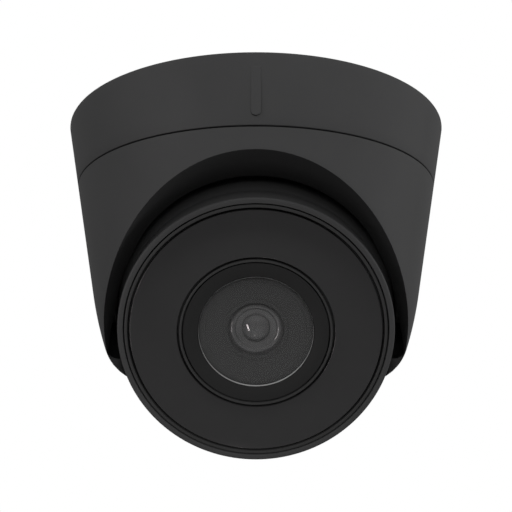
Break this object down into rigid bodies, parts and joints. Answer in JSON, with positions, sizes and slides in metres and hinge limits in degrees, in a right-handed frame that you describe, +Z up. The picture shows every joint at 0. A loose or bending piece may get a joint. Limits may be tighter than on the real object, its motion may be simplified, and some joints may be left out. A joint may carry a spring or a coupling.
{
  "type": "dome cctv camera",
  "caption": "Black ceiling-mounted turret camera: a conical shell that turns on a round base and carries a tilting, rolling eyeball with a dark annular window round a glass lens.",
  "frame": {"origin": "centre of the mounting face that lies on the ceiling, which is also the centre of the ceiling screw circle", "axes": "+Z up towards the ceiling, so the camera hangs below z = 0; the lens looks towards -Y and 30 degrees downwards; +X is to the right of a person facing the lens from in front, looking along +Y"},
  "size_m": [0.1098, 0.1098, 0.0936],
  "materials": {
    "base_plastic": "satin",
    "shell_paint": "satin",
    "ball_paint": "black satin paint",
    "trim_plastic": "satin",
    "dish_plastic": "matte",
    "inner_plastic": "matte",
    "slide_plastic": "smooth",
    "foam": "matte",
    "soft_rubber": "matte",
    "seal_rubber": "matte",
    "pad_rubber": "matte",
    "screw_steel": "brushed",
    "window_glass": "gloss",
    "clear_glass": "clear",
    "lens_optic": "coated",
    "filter_glass": "coated",
    "barrel_metal": "black anodised",
    "sensor_face": "gloss",
    "green_board": "solder mask",
    "white_board": "solder mask",
    "led_body": "gloss",
    "led_lens": "clear",
    "brass_post": "turned",
    "chip_black": "matte",
    "connector_white": "matte",
    "heat_aluminium": "satin"
  },
  "bodies": {
    "base": {"mounting_base": "base_plastic", "ceiling_gasket": "foam", "cable_grommet": "soft_rubber", "pan_washer": "slide_plastic", "pan_retainer": "inner_plastic", "retainer_screws": "screw_steel", "pan_lock_screw": "screw_steel"},
    "turret": {"front_shell": "shell_paint", "tilt_washers": "slide_plastic"},
    "yoke": {"tilt_yoke": "inner_plastic", "tilt_pins": "screw_steel", "roll_washer": "slide_plastic"},
    "eyeball": {"front_housing": "ball_paint", "rear_housing": "ball_paint", "housing_seal": "seal_rubber", "housing_screws": "screw_steel", "trim_ring": "trim_plastic", "window_gasket": "soft_rubber", "ir_window": "window_glass", "lens_ring": "trim_plastic", "lens_dish": "dish_plastic", "lens_glass": "clear_glass", "lens_barrel": "barrel_metal", "lens_elements": "lens_optic", "lens_holder": "inner_plastic", "ir_cut_filter": "filter_glass", "image_sensor": "sensor_face", "sensor_board": "green_board", "led_board": "white_board", "ir_leds": "led_body", "led_lenses": "led_lens", "light_sensor": "led_body", "main_board": "green_board", "board_posts": "brass_post", "board_screws": "screw_steel", "board_chips": "chip_black", "board_connectors": "connector_white", "thermal_pad": "pad_rubber", "heat_sink": "heat_aluminium", "roll_nut": "screw_steel", "cable_gland": "soft_rubber"}
  },
  "joints": [
    {"name": "pan", "type": "hinge", "parent": "base", "child": "turret", "pos_m": [0, 0, 0], "axis": [0, 0, 1], "range_deg": [-180, 180]},
    {"name": "tilt", "type": "hinge", "parent": "turret", "child": "yoke", "pos_m": [0, 0, -0.0505], "axis": [1, 0, 0], "range_deg": [-10, 60]},
    {"name": "roll", "type": "hinge", "parent": "yoke", "child": "eyeball", "pos_m": [0, 0, -0.0505], "axis": [0, -0.866, -0.5], "range_deg": [-180, 180]}
  ]
}
